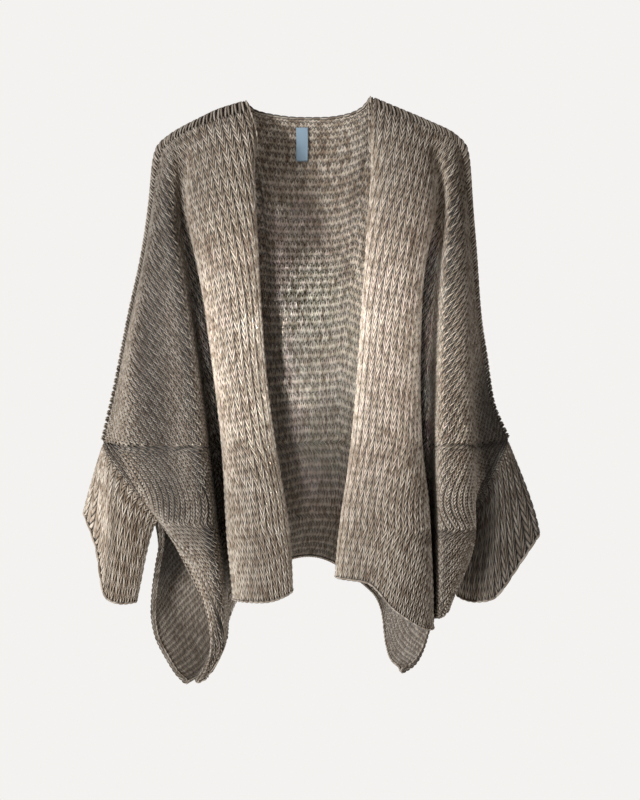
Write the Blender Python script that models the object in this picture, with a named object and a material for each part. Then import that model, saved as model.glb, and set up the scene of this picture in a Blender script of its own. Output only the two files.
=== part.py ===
"""An open-fronted batwing cardigan in thick stockinette knit, hanging hollow from its shoulders.

Two fronts, a back, two sleeve bands and a blank label inside the back neck. Sizes here are in
millimetres. X runs to the wearer's left, Y to the back and Z up, and the origin lies between the
neck ends of the two shoulder seams, where a pair of shoulders carries the garment.

A panel is drawn as plan outlines, one at each of a few heights. A row of its table is one height,
and a column is one fold, whose x and y the row gives. The wales, which are the columns of
stitches, run down each panel from the shoulder and sleeve seam to the hem.
"""

import bmesh
import bpy
import numpy as np

MM = 0.001
CLOTH = 4.0  # thickness of the knit
SEAM_GAP = 0.36  # left between two pieces that are sewn together

# How finely the cloth is divided. Front and back share their points along every seam.
SHOULDER_STEPS = 26  # along a shoulder seam, so also across a front
NECK_STEPS = 6  # across the back between its shoulders
SLEEVE_STEPS = 10  # down a sleeve seam
ARMHOLE_STEPS = 6  # down one half of an armhole
FREE_STEPS = 6  # down a free side edge
COURSE_STEPS = SLEEVE_STEPS + ARMHOLE_STEPS + FREE_STEPS
BAND_STEPS = 4  # along a sleeve band
FINE = 4  # a panel is worked out this much finer, and its folds are softened, before it is divided
SOFTENING = 14  # rounds of softening
HEIGHT_SAMPLES = 220
FOLD_SAMPLES = 14  # between two folds of an outline
EDGE_SAMPLES = 400  # along an edge, before it is divided evenly
ARMHOLE_SAMPLES = 60  # down one half of an armhole, to find the panels' ends beside it
FULL = -400  # the height at which the panels hang at their fullest
SHARP_ANGLE = 50  # degrees; flatter edges than this are shaded as smooth

KNIT_COLOUR = (0.44, 0.37, 0.30, 1.0)
LABEL_COLOUR = (0.28, 0.42, 0.55, 1.0)

SHOULDER_TIP = -62  # the height at which each shoulder seam turns down into the sleeve seam

# The wearer's right side. The shoulder and sleeve seam, from the neck to the top of the armhole.
RIGHT_SEAM = [
    # height, x, y
    (0, -87, 0),
    (-12, -124, 0),
    (-25, -149, 0),
    (-46, -188, 0),
    (-62, -208, 0),
    (-80, -213, 0),
    (-130, -216, 0),
    (-200, -225, 0),
    (-300, -246, -2),
    (-400, -266, -2),
    (-480, -285, 0),
]
RIGHT_FRONT_SIDE = [
    # the front's free side edge, from the underarm to the tip of its hem
    (-584, -206, 0),
    (-618, -178, -38),
    (-648, -161, -56),
    (-675, -146, -62),
    (-700, -135, -66),
    (-745, -129, -60),
    (-783, -141, -52),
    (-804, -154, -44),
]
RIGHT_BACK_SIDE = [
    (-584, -206, 0),
    (-612, -206, 14),
    (-650, -212, 18),
    (-690, -217, 14),
    (-715, -218, 10),
    (-745, -213, 4),
    (-778, -195, -8),
    (-798, -181, -14),
    (-809, -167, -20),
]
# The wearer's left side.
LEFT_SEAM = [
    (6, 87, 0),
    (-8, 118, 0),
    (-25, 156, 0),
    (-46, 202, 0),
    (-62, 219, 0),
    (-80, 222, 0),
    (-137, 225, 0),
    (-215, 231, 0),
    (-294, 236, 0),
    (-361, 246, 0),
    (-417, 254, 0),
    (-477, 279, 0),
]
LEFT_FRONT_SIDE = [
    (-590, 215, 0),
    (-606, 212, -26),
    (-637, 208, -46),
    (-660, 202, -56),
    (-684, 196, -62),
    (-697, 189, -66),
]
LEFT_BACK_SIDE = [
    (-590, 215, 0),
    (-615, 212, 16),
    (-650, 205, 28),
    (-700, 188, 34),
    (-742, 171, 30),
    (-764, 164, 24),
    (-787, 150, 12),
    (-798, 130, 4),
]

# The fronts, from the free front edge outwards: the x of each fold at that height, then its y.
RIGHT_FRONT = {
    "folds": (
        "selvage", "edge", "crest", "flank", "valley_in", "valley_out", "ridge", "trough", "bulge",
    ),
    "hem": (-660, -671, -684, -684, -688, -690, -745, -775, -795, -804),
    "outlines": {
        0: ((-87,) * 9, (0,) * 9),
        -60: (
            (-72, -78, -112, -150, -163, -173, -182, -192, -200),
            (-38, -48, -54, -42, -36, -32, -28, -22, -14),
        ),
        -150: (
            (-82, -69, -115, -160, -168, -178, -188, -198, -208),
            (-54, -72, -94, -74, -54, -50, -56, -50, -34),
        ),
        -250: (
            (-84, -63, -105, -148, -146, -166, -172, -194, -218),
            (-64, -88, -116, -88, -34, -30, -80, -70, -52),
        ),
        -400: (
            (-74, -52, -90, -127, -120, -146, -152, -194, -238),
            (-74, -98, -126, -98, 2, 6, -92, -80, -60),
        ),
        -500: (
            (-62, -37, -78, -116, -106, -134, -142, -186, -238),
            (-78, -102, -130, -102, 20, 24, -96, -82, -54),
        ),
        -600: (
            (-46, -20, -64, -105, -94, -122, -128, -154, -182),
            (-78, -102, -128, -102, 30, 34, -90, -78, -52),
        ),
        -700: (
            (-42, -17, -58, -95, -86, -110, -114, -121, -129),
            (-76, -100, -122, -98, 30, 34, -84, -84, -78),
        ),
        -750: (
            (-42, -17, -58, -95, -86, -110, -113, -118, -124),
            (-76, -100, -122, -98, 30, 26, -52, -62, -63),
        ),
        -804: (
            (-42, -17, -58, -95, -86, -110, -116, -124, -138),
            (-76, -100, -122, -98, 30, 20, 0, -14, -32),
        ),
    },
}
LEFT_FRONT = {
    "folds": (
        "selvage", "edge", "panel", "crest", "flank", "valley_in", "valley_out", "ridge", "fold",
        "recess", "bulge",
    ),
    "hem": (-648, -653, -657, -694, -724, -722, -718, -710, -702, -700, -698, -697),
    "outlines": {
        6: ((87,) * 11, (0,) * 11),
        -60: (
            (87, 94, 112, 136, 160, 171, 180, 190, 201, 209, 214),
            (-38, -48, -54, -52, -42, -36, -32, -28, -22, -14, -8),
        ),
        -150: (
            (95, 82, 108, 140, 170, 178, 187, 198, 210, 217, 222),
            (-53, -70, -92, -92, -68, -50, -46, -54, -42, -24, -12),
        ),
        -250: (
            (97, 75, 96, 128, 158, 154, 176, 190, 214, 212, 224),
            (-64, -88, -112, -116, -92, -36, -32, -82, -62, -20, -14),
        ),
        -400: (
            (88, 64, 86, 120, 153, 146, 170, 184, 215, 206, 232),
            (-74, -98, -122, -126, -98, 0, 4, -94, -76, -12, -16),
        ),
        -500: (
            (80, 54, 78, 118, 156, 148, 170, 182, 220, 213, 244),
            (-78, -102, -126, -130, -102, 16, 20, -100, -82, -8, -24),
        ),
        -550: (
            (74, 45, 76, 117, 159, 150, 171, 183, 225, 219, 232),
            (-78, -102, -126, -130, -102, 20, 24, -100, -76, -30, -27),
        ),
        -600: (
            (68, 37, 74, 116, 161, 152, 172, 184, 229, 226, 221),
            (-78, -102, -126, -130, -102, 22, 26, -100, -68, -44, -34),
        ),
        -700: (
            (60, 31, 84, 112, 165, 156, 172, 180, 186, 188, 189),
            (-76, -98, -122, -122, -98, 16, 18, -88, -80, -75, -71),
        ),
        -730: (
            (60, 31, 86, 112, 165, 156, 168, 174, 178, 180, 181),
            (-76, -98, -122, -122, -98, 16, 10, -82, -76, -74, -72),
        ),
    },
}
# The back, from the wearer's right to left.
BACK = {
    "folds": ("wing_right", "valley_right", "side_right", "centre", "side_left", "valley_left", "wing_left"),
    "hem": (-809, -805, -785, -700, -646, -700, -766, -790, -798),
    "outlines": {
        6: ((-84, -74, -48, 0, 48, 74, 84), (8, 20, 34, 42, 34, 20, 8)),
        -60: ((-196, -160, -90, 0, 90, 166, 205), (22, 36, 56, 62, 56, 36, 20)),
        -150: ((-207, -172, -100, 0, 100, 176, 213), (44, 54, 82, 84, 82, 50, 42)),
        -250: ((-222, -178, -112, 0, 110, 182, 226), (68, 62, 108, 98, 106, 60, 66)),
        -400: ((-242, -176, -116, 0, 116, 180, 238), (90, 74, 132, 108, 128, 72, 84)),
        -500: ((-246, -172, -114, 0, 114, 178, 250), (84, 82, 140, 112, 136, 80, 78)),
        -600: ((-210, -166, -108, 0, 108, 172, 214), (60, 84, 138, 112, 134, 82, 58)),
        -700: ((-202, -156, -98, 0, 96, 144, 174), (50, 80, 128, 112, 116, 76, 44)),
        -804: ((-152, -128, -80, 0, 70, 93, 112), (10, 52, 104, 112, 90, 64, 36)),
    },
}
# The edge of the back neck, from the end of one shoulder seam to the end of the other.
NECK = [
    # x, y, height
    (-87, 0, 0),
    (-79, 16, -8),
    (-54, 35, -12),
    (-12, 44, -15),
    (22, 44, -15),
    (56, 34, -12),
    (79, 15, -4),
    (87, 0, 6),
]
NECK_PULL = 4  # how quickly the pull of the neck's edge dies away down the back

# The armhole is an oval from the end of the sleeve seam to the underarm.
ARMHOLE_HALF_WIDTH = {-1: 44, 1: 34}  # on the wearer's right and left
ARMHOLE_SPACING = 1.4  # its points lie closer together at the top, where it turns sharply
GREATEST_FULLNESS = 0.385  # of sqrt(t) * (1 - t), for t from 0 to 1
# A sleeve band leaves the armhole in line with the panels. These are the points of its open end, in
# degrees from the top of the armhole round by the front.
RIGHT_BAND = [
    # turn, x, y, height
    (0, -313, 4, -574),
    (45, -290, -24, -628),
    (90, -280, -35, -688),
    (135, -258, -20, -699),
    (180, -241, -2, -698),
    (225, -262, 18, -676),
    (270, -284, 32, -640),
    (315, -304, 24, -604),
]
LEFT_BAND = [
    (0, 322, -2, -604),
    (45, 288, -24, -650),
    (90, 254, -34, -692),
    (135, 229, -20, -696),
    (180, 209, 2, -688),
    (225, 238, 20, -664),
    (270, 280, 32, -628),
    (315, 309, 24, -606),
]
BAND_LEAD = 45  # how firmly a band keeps the panels' direction as it leaves the armhole
BAND_SPACING = 1.3  # its rings lie closer together by the armhole
SEAM_RUN = (0.31, -0.95)  # how far the end of a sleeve seam runs outwards, and up, over its length

LABEL = {"left": -18, "right": 0, "top": -28, "foot": -74, "thickness": 1.0, "clear": 0.7}
LABEL_STEPS = 6


def slopes(at, values):
    """The slopes of a smooth curve through the values that never overshoots them."""
    rise = np.diff(values, axis=0) / np.diff(at)[:, None]
    before, after = rise[:-1], rise[1:]
    same_way = before * after > 0
    before = np.where(same_way, before, 1.0)
    after = np.where(same_way, after, 1.0)
    inner = np.where(same_way, 2.0 / (1.0 / before + 1.0 / after), 0.0)
    return np.concatenate([rise[:1], inner, rise[-1:]])


def smooth(at, values, where):
    """Values at the places asked for, on a smooth curve through the rows of a table."""
    at, values, where = np.asarray(at, float), np.asarray(values, float), np.asarray(where, float)
    order = np.argsort(at)
    at = at[order]
    flat = values.reshape(len(at), -1)[order]
    slope = slopes(at, flat)
    where = np.clip(where, at[0], at[-1])
    i = np.clip(np.searchsorted(at, where) - 1, 0, len(at) - 2)
    step = (at[i + 1] - at[i])[:, None]
    t = (where - at[i])[:, None] / step
    found = (
        (2 * t**3 - 3 * t**2 + 1) * flat[i]
        + (t**3 - 2 * t**2 + t) * step * slope[i]
        + (3 * t**2 - 2 * t**3) * flat[i + 1]
        + (t**3 - t**2) * step * slope[i + 1]
    )
    return found.reshape((len(where),) + values.shape[1:])


def column(rows, heights):
    """(x, y) at each height, from rows of (height, x, y)."""
    table = np.asarray(rows, float)
    return smooth(table[:, 0], table[:, 1:], heights)


def unit(vectors):
    return vectors / np.maximum(np.linalg.norm(vectors, axis=-1, keepdims=True), 1e-9)


def along(points):
    """The distance along a line of points, from 0 at its first."""
    steps = np.linalg.norm(np.diff(points, axis=0), axis=1)
    return np.concatenate([[0.0], np.cumsum(steps)])


def evenly(line, steps):
    """Evenly spaced points along a line."""
    at = along(line)
    where = np.linspace(0, at[-1], steps + 1)
    return np.stack([np.interp(where, at, line[:, k]) for k in range(line.shape[1])], axis=1)


def rounded(corners):
    """A plan outline as a smooth line through its folds, every FOLD_SAMPLES-th point being a fold."""
    before = 2 * corners[:1] - corners[1:2]
    beyond = 2 * corners[-1:] - corners[-2:-1]
    padded = np.concatenate([before, corners, beyond])
    chord = np.linalg.norm(np.diff(padded, axis=0), axis=1)
    knots = np.concatenate([[0.0], np.cumsum(np.sqrt(chord) + 1e-6)])
    line = []
    for i in range(1, len(padded) - 2):
        p = padded[i - 1 : i + 3]
        k = knots[i - 1 : i + 3]
        t = np.linspace(k[1], k[2], FOLD_SAMPLES, endpoint=False)[:, None]
        a = [((k[j + 1] - t) * p[j] + (t - k[j]) * p[j + 1]) / (k[j + 1] - k[j]) for j in range(3)]
        b = [((k[j + 2] - t) * a[j] + (t - k[j]) * a[j + 1]) / (k[j + 2] - k[j]) for j in range(2)]
        line.append(((k[2] - t) * b[0] + (t - k[1]) * b[1]) / (k[2] - k[1]))
    line.append(corners[-1:])
    return np.concatenate(line)


class Drape:
    """A hanging panel: its plan outlines over height.

    A point on it is a (place, height) pair. A fold keeps its place at every height, which is its
    distance along the outline at the height FULL. Above the shoulder tip the places close up, as
    the outlines there shorten towards the neck. zero is the fold that has place 0.
    """

    def __init__(self, table, low, high, ends, zero=0):
        outlines = table["outlines"]
        rows = sorted(outlines)
        self.heights = np.linspace(low, high, HEIGHT_SAMPLES)
        folds = smooth(rows, [np.transpose(outlines[h]) for h in rows], self.heights)
        first, last = ends
        pieces = [folds]
        if first:
            pieces.insert(0, first(self.heights)[:, None])
        if last:
            pieces.append(last(self.heights)[:, None])
        self.plan = np.stack([rounded(c) for c in np.concatenate(pieces, axis=1)])
        length = np.stack([along(p) for p in self.plan])
        folds_at = length[:, ::FOLD_SAMPLES]
        full = folds_at[np.argmin(abs(self.heights - FULL))]
        tip = folds_at[np.argmin(abs(self.heights - SHOULDER_TIP)), -1]
        closing = np.where(self.heights > SHOULDER_TIP, np.minimum(folds_at[:, -1] / tip, 1), 1)
        self.folds = full - full[zero]
        self.closing = closing
        self.places = np.stack([
            np.interp(line, at, self.folds * shut) for line, at, shut in zip(length, folds_at, closing)
        ])

    def span(self, height):
        """The places at which the outline starts and ends, at each height."""
        shut = np.interp(height, self.heights, self.closing)
        return self.folds[0] * shut, self.folds[-1] * shut

    def points(self, where):
        """Points on the panel, from (place, height) pairs."""
        shape = where.shape[:-1]
        place, height = where.reshape(-1, 2).T
        start, end = self.span(height)
        share = np.clip((place - start) / np.maximum(end - start, 1e-6), 0, 1)
        spacing = self.heights[1] - self.heights[0]
        row = np.clip((height - self.heights[0]) / spacing, 0, HEIGHT_SAMPLES - 1.001)
        below = row.astype(int)
        found = np.zeros((len(place), 2))
        for step, weight in ((0, 1 - (row - below)), (1, row - below)):
            for number in np.unique(below + step):
                here = below + step == number
                line = self.places[number]
                at = line[0] + share[here] * (line[-1] - line[0])
                spots = np.stack([np.interp(at, line, self.plan[number][:, k]) for k in (0, 1)], axis=1)
                found[here] += weight[here][:, None] * spots
        return np.concatenate([found, height[:, None]], axis=1).reshape(shape + (3,))


def edge_line(rows, high, low, steps):
    """Evenly spaced points along an edge, between two heights."""
    heights = np.linspace(high, low, EDGE_SAMPLES)
    return evenly(np.concatenate([column(rows, heights), heights[:, None]], axis=1), steps)


def armhole_line(seam, side, towards, steps):
    """One half of the armhole, from the sleeve seam to the underarm: round at the top, where the
    cloth folds over, and pointed below. towards is -1 for the front's half and 1 for the back's."""
    top = np.array([seam[-1][1], seam[-1][2], seam[-1][0]], float)
    underarm = np.array([side[0][1], side[0][2], side[0][0]], float)
    share = (np.linspace(0, 1, steps + 1) ** ARMHOLE_SPACING)[:, None]
    line = (1 - share) * top + share * underarm
    fullness = np.sqrt(share) * (1 - share) / GREATEST_FULLNESS
    line[:, 1:2] += towards * ARMHOLE_HALF_WIDTH[np.sign(top[0])] * fullness
    return line


def outer_line(seam, side, towards):
    """A panel's outer edge: the sleeve seam, its half of the armhole and its free side."""
    sleeve = edge_line(seam, SHOULDER_TIP, seam[-1][0], FINE * SLEEVE_STEPS)
    armhole = armhole_line(seam, side, towards, FINE * ARMHOLE_STEPS)
    free = edge_line(side, side[0][0], side[-1][0], FINE * FREE_STEPS)
    return np.concatenate([sleeve, armhole[1:], free[1:]])


def outer_end(seam, side, towards):
    """The (x, y) of a panel's outer end at any height: its seam, its half of the armhole, its edge."""

    def at(heights):
        half = armhole_line(seam, side, towards, ARMHOLE_SAMPLES)[::-1]
        found = column(seam, heights)
        beside = (heights < seam[-1][0]) & (heights > side[0][0])
        below = heights <= side[0][0]
        for k in (0, 1):
            found[beside, k] = np.interp(heights[beside], half[:, 2], half[:, k])
        found[below] = column(side, heights[below])
        return found

    return at


def hem_line(drape, hem, steps):
    """(place, height) of points along a hem, whose height is given at each fold."""
    places = np.linspace(drape.folds[0], drape.folds[-1], steps + 1)
    return np.stack([places, smooth(drape.folds, np.array(hem, float), places)], axis=1)


def filled(top, bottom, first, last, down):
    """The grid of (place, height) between four sides. down says how far down each row lies, 0 to 1."""
    u = np.linspace(0, 1, len(top))[:, None, None]
    v = down[None, :, None]
    corners = (1 - v) * ((1 - u) * top[0] + u * top[-1]) + v * ((1 - u) * bottom[0] + u * bottom[-1])
    between = (1 - v) * top[:, None] + v * bottom[:, None]
    return between + (1 - u) * first[None] + u * last[None] - corners


def depth_share(line):
    """How far down each point of an outer edge lies, from 0 at its top to 1 at its foot."""
    return (line[:, 2] - line[0, 2]) / (line[-1, 2] - line[0, 2])


def softened(grid):
    """A grid whose sharp folds are eased, by moving each point towards its neighbours across."""
    for _ in range(SOFTENING):
        grid[1:-1] = (grid[:-2] + 2 * grid[1:-1] + grid[2:]) / 4
    return grid


def at_end(drape, line, end):
    """(place, height) of points on the start (0) or the end (1) of a drape's outlines."""
    return np.stack([drape.span(line[:, 2])[end], line[:, 2]], axis=1)


def front_grid(table, seam, side):
    """A front's middle surface and normals, from its front edge outwards and from its shoulder down."""
    low = min(min(table["hem"]), side[-1][0]) - 2
    drape = Drape(table, low, seam[0][0], (None, outer_end(seam, side, -1)))
    shoulder = edge_line(seam, seam[0][0], SHOULDER_TIP, FINE * SHOULDER_STEPS)
    outer = outer_line(seam, side, -1)
    down = depth_share(outer)
    front = seam[0][0] + (table["hem"][0] - seam[0][0]) * down
    grid = filled(
        at_end(drape, shoulder, 1),
        hem_line(drape, table["hem"], FINE * SHOULDER_STEPS),
        np.stack([np.zeros_like(front), front], axis=1),
        at_end(drape, outer, 1),
        down,
    )
    grid = softened(drape.points(grid))
    grid[:, 0] = shoulder
    grid[-1] = outer
    return grid[::FINE, ::FINE], wound(grid)[::FINE, ::FINE]


def back_grid():
    """The back's middle surface and normals, from the wearer's right to left and from its top down."""
    ends = outer_end(RIGHT_SEAM, RIGHT_BACK_SIDE, 1), outer_end(LEFT_SEAM, LEFT_BACK_SIDE, 1)
    centre = 1 + BACK["folds"].index("centre")
    drape = Drape(BACK, min(BACK["hem"]) - 2, LEFT_SEAM[0][0], ends, centre)
    right = edge_line(RIGHT_SEAM, RIGHT_SEAM[0][0], SHOULDER_TIP, FINE * SHOULDER_STEPS)[::-1]
    left = edge_line(LEFT_SEAM, LEFT_SEAM[0][0], SHOULDER_TIP, FINE * SHOULDER_STEPS)
    right_top, left_top = at_end(drape, right, 0), at_end(drape, left, 1)
    rows = np.array(NECK, float)
    neck_line = smooth(along(rows), rows, np.linspace(0, along(rows)[-1], EDGE_SAMPLES))
    edge = evenly(neck_line, FINE * NECK_STEPS)[1:-1]
    share = np.linspace(0, 1, len(edge) + 2)[1:-1, None]
    neck = (1 - share) * right_top[-1] + share * left_top[0]
    neck[:, 1] = edge[:, 2]
    top = np.concatenate([right_top, neck, left_top])
    outer = [
        outer_line(RIGHT_SEAM, RIGHT_BACK_SIDE, 1),
        outer_line(LEFT_SEAM, LEFT_BACK_SIDE, 1),
    ]
    down = (depth_share(outer[0]) + depth_share(outer[1])) / 2
    sides = [at_end(drape, line, end) for end, line in enumerate(outer)]
    grid = softened(drape.points(filled(top, hem_line(drape, BACK["hem"], len(top) - 1), *sides, down)))
    pull = np.concatenate([right, edge, left]) - grid[:, 0]
    grid += pull[:, None] * ((1 - down) ** NECK_PULL)[None, :, None]
    grid[0], grid[-1] = outer
    return grid[::FINE, ::FINE], wound(grid)[::FINE, ::FINE]


def wound(grid, around=False):
    """The unit normal at each point of a grid, from the faces that meet there."""
    if around:
        grid = np.concatenate([grid[-1:], grid, grid[:1]])
    normal = np.zeros(grid.shape)
    a, b, c, d = grid[:-1, :-1], grid[1:, :-1], grid[1:, 1:], grid[:-1, 1:]
    face = unit(np.cross(c - a, d - b))
    for i in (slice(None, -1), slice(1, None)):
        for j in (slice(None, -1), slice(1, None)):
            normal[i, j] += face
    if around:
        normal = normal[1:-1]
    return unit(normal)


def squared(line, normal, around=False):
    """Normals squared up to a line, and the direction across the line at each of its points."""
    if around:
        run = unit(np.roll(line, -1, axis=0) - np.roll(line, 1, axis=0))
    else:
        run = unit(np.gradient(line, axis=0))
    normal = unit(normal - (normal * run).sum(axis=1, keepdims=True) * run)
    return normal, np.cross(run, normal)


def leads(ring, hand):
    """The way in which the cloth leaves the armhole for the sleeve band, all round: along the sleeve
    seam at the top, and straight outwards at the underarm, so that the band clears the free sides.
    hand is -1 on the wearer's right and 1 on the left."""
    turn = np.linspace(0, 2 * np.pi, len(ring), endpoint=False)[:, None]
    share = (1 - np.cos(turn)) / 2
    down_seam = np.array([SEAM_RUN[0] * hand, 0, SEAM_RUN[1]])
    return unit((1 - share) * down_seam + share * np.array([hand, 0, 0]))


def band_grid(ring, lead, band):
    """A sleeve band's middle surface: rings from the armhole to the band's open end."""
    rows = np.array(band, float)
    twice = np.concatenate([rows - (360, 0, 0, 0), rows, rows + (360, 0, 0, 0)])
    end = smooth(twice[:, 0], twice[:, 1:], np.linspace(0, 360, len(ring), endpoint=False))
    arrival = end.mean(axis=0) - ring.mean(axis=0)
    t = (np.linspace(0, 1, BAND_STEPS + 1) ** BAND_SPACING)[None, :, None]
    return (
        (2 * t**3 - 3 * t**2 + 1) * ring[:, None]
        + (t**3 - 2 * t**2 + t) * BAND_LEAD * lead[:, None]
        + (3 * t**2 - 2 * t**3) * end[:, None]
        + (t**3 - t**2) * arrival
    )


def sew(front, front_normal, wing, wing_normal, band_size, hand):
    """Joins a front, a wing of the back and a sleeve band, and returns the band and its normals.

    Both panels run outwards from the neck and down from the shoulder. Each piece stops half a seam
    gap short, and all share one normal at a seam, so that their ends face each other squarely.
    """
    half = SEAM_GAP / 2
    arm = ARMHOLE_STEPS
    # The rows of a panel's last column that lie on its half of the armhole, from the top down.
    hole = np.arange(SLEEVE_STEPS, SLEEVE_STEPS + arm + 1)

    ring = np.concatenate([front[-1, hole], wing[-1, hole[1:-1]][::-1]])
    lead = leads(ring, hand)
    band = band_grid(ring, lead, band_size)
    band_normal = hand * wound(band, around=True)
    panel_normal = np.concatenate([front_normal[-1, hole], wing_normal[-1, hole[1:-1]][::-1]])
    panel_normal[0] += wing_normal[-1, hole[0]]
    panel_normal[arm] += wing_normal[-1, hole[-1]]
    ring_normal, away = squared(ring, unit(panel_normal) + band_normal[:, 0], around=True)
    away *= np.sign((away * lead).sum(axis=1, keepdims=True))

    # The columns and rows of a panel along the shoulder and sleeve seam, from the neck.
    across = np.concatenate([np.arange(SHOULDER_STEPS), np.full(SLEEVE_STEPS + 1, SHOULDER_STEPS)])
    down = np.concatenate([np.zeros(SHOULDER_STEPS, int), np.arange(SLEEVE_STEPS + 1)])
    both = front_normal[across, down] + wing_normal[across, down]
    both[:, 1] = 0
    seam_normal, back_way = squared(front[across, down], both)
    back_way *= np.sign(back_way[:, 1:2])
    seam_normal[-1] = ring_normal[0]
    front_normal[across, down] = seam_normal
    wing_normal[across, down] = seam_normal
    front[across, down] -= half * back_way
    wing[across, down] += half * back_way

    front_normal[-1, hole] = ring_normal[: arm + 1]
    wing_normal[-1, hole[1:]] = ring_normal[::-1][:arm]
    band_normal[:, 0] = ring_normal
    front[-1, hole] -= half * away[: arm + 1]
    wing[-1, hole[0]] -= half * away[0]
    wing[-1, hole[1:]] -= half * away[::-1][:arm]
    band[:, 0] += half * away
    front[-1, hole[-1], 1] -= half
    wing[-1, hole[-1], 1] += half
    return band, band_normal


def cloth(name, middle, normal, material, around=False, thickness=CLOTH):
    """A closed wall of cloth about a middle surface."""
    columns, rows = middle.shape[:2]
    half = thickness / 2 * normal
    body = bmesh.new()
    outer, inner = ([[body.verts.new(p * MM) for p in line] for line in middle + way * half] for way in (1, -1))

    def quad(a, b, c, d):
        body.faces.new((a, b, c))
        body.faces.new((a, c, d))

    def rim(i, j, k, m):
        """An end of the wall. Its diagonal runs from the higher end's outer corner, so that the
        two sides of a seam are divided alike."""
        if middle[i, j, 2] < middle[k, m, 2]:
            i, j, k, m = k, m, i, j
        quad(outer[i][j], outer[k][m], inner[k][m], inner[i][j])

    pairs = [(i, (i + 1) % columns) for i in range(columns if around else columns - 1)]
    for i, k in pairs:
        for j in range(rows - 1):
            corners = [(i, j), (k, j), (k, j + 1), (i, j + 1)]
            one_way = np.linalg.norm(middle[i, j] - middle[k, j + 1])
            other_way = np.linalg.norm(middle[k, j] - middle[i, j + 1])
            if other_way < one_way:
                corners = corners[1:] + corners[:1]
            quad(*(outer[a][b] for a, b in corners))
            quad(*(inner[a][b] for a, b in corners))
        rim(i, 0, k, 0)
        rim(i, rows - 1, k, rows - 1)
    if not around:
        for j in range(rows - 1):
            rim(0, j, 0, j + 1)
            rim(columns - 1, j, columns - 1, j + 1)
    bmesh.ops.recalc_face_normals(body, faces=body.faces)
    mesh = bpy.data.meshes.new(name)
    body.to_mesh(mesh)
    body.free()
    mesh.shade_smooth()
    mesh.set_sharp_from_angle(angle=np.radians(SHARP_ANGLE))
    mesh.materials.append(material)
    made = bpy.data.objects.new(name, mesh)
    bpy.context.scene.collection.objects.link(made)
    return made


def finish(name, colour, roughness):
    material = bpy.data.materials.new(name)
    material.use_nodes = True
    shader = material.node_tree.nodes["Principled BSDF"]
    shader.inputs["Base Color"].default_value = colour
    shader.inputs["Roughness"].default_value = roughness
    shader.inputs["Metallic"].default_value = 0.0
    return material


def label_grid(back, back_normal):
    """The label's middle surface: the inside of the back's cloth, moved out by the seam gap."""
    inside = back - CLOTH / 2 * back_normal
    middle = len(back) // 2
    columns = inside[middle - 4 : middle + 5]
    xs = np.linspace(LABEL["left"], LABEL["right"], 4)
    heights = np.linspace(LABEL["top"], LABEL["foot"], LABEL_STEPS + 1)
    grid = np.zeros((len(xs), len(heights), 3))
    for j, height in enumerate(heights):
        level = np.array([[np.interp(-height, -c[:, 2], c[:, k]) for k in (0, 1)] for c in columns])
        depth = np.interp(xs, level[:, 0], level[:, 1]) - LABEL["clear"] - LABEL["thickness"] / 2
        grid[:, j] = np.stack([xs, depth, np.full(len(xs), height)], axis=1)
    return grid


def clear_scene():
    for obj in list(bpy.data.objects):
        bpy.data.objects.remove(obj)


def main():
    clear_scene()
    knit = finish("knit", KNIT_COLOUR, 0.95)
    satin = finish("label", LABEL_COLOUR, 0.5)
    back, back_normal = back_grid()
    wings = {"right": np.s_[SHOULDER_STEPS::-1], "left": np.s_[-SHOULDER_STEPS - 1 :]}
    sides = (
        ("right", -1, RIGHT_FRONT, RIGHT_SEAM, RIGHT_FRONT_SIDE, RIGHT_BAND),
        ("left", 1, LEFT_FRONT, LEFT_SEAM, LEFT_FRONT_SIDE, LEFT_BAND),
    )
    for side, hand, table, seam, edge, band_size in sides:
        front, front_normal = front_grid(table, seam, edge)
        front_normal *= -hand
        wing = wings[side]
        band, band_normal = sew(front, front_normal, back[wing], back_normal[wing], band_size, hand)
        cloth(f"front_{side}", front, front_normal, knit)
        cloth(f"sleeve_{side}", band, band_normal, knit, around=True)
    cloth("back", back, back_normal, knit)
    label = label_grid(back, back_normal)
    facing = np.zeros(label.shape)
    facing[..., 1] = 1.0
    cloth("neck_label", label, facing, satin, thickness=LABEL["thickness"])


main()
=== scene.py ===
import math
import bpy
import numpy as np
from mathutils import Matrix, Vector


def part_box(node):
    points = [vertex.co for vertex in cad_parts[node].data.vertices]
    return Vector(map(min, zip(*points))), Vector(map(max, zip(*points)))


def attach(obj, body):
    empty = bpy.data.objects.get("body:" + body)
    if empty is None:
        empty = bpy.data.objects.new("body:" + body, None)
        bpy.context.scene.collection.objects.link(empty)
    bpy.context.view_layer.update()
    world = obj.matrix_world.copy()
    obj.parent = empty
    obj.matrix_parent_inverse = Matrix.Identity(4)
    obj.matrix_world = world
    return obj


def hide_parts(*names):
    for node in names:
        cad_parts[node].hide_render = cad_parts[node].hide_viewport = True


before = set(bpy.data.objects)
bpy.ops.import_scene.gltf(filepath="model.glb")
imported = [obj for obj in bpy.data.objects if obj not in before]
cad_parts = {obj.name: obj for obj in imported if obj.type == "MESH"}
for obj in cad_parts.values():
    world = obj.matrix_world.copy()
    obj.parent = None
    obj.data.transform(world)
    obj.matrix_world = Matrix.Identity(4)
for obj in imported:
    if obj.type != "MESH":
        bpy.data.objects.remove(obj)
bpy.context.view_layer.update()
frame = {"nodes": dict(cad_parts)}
print("frame loaded:", ", ".join(frame["nodes"]))

# The shape is worked out in millimetres, on the form of the CAD part, and a mesh gets it in metres.
mm = 0.001
shoulderTip = -62  # height at which a shoulder seam turns down into the sleeve seam
full = -400  # height at which the panels hang at their fullest

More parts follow.
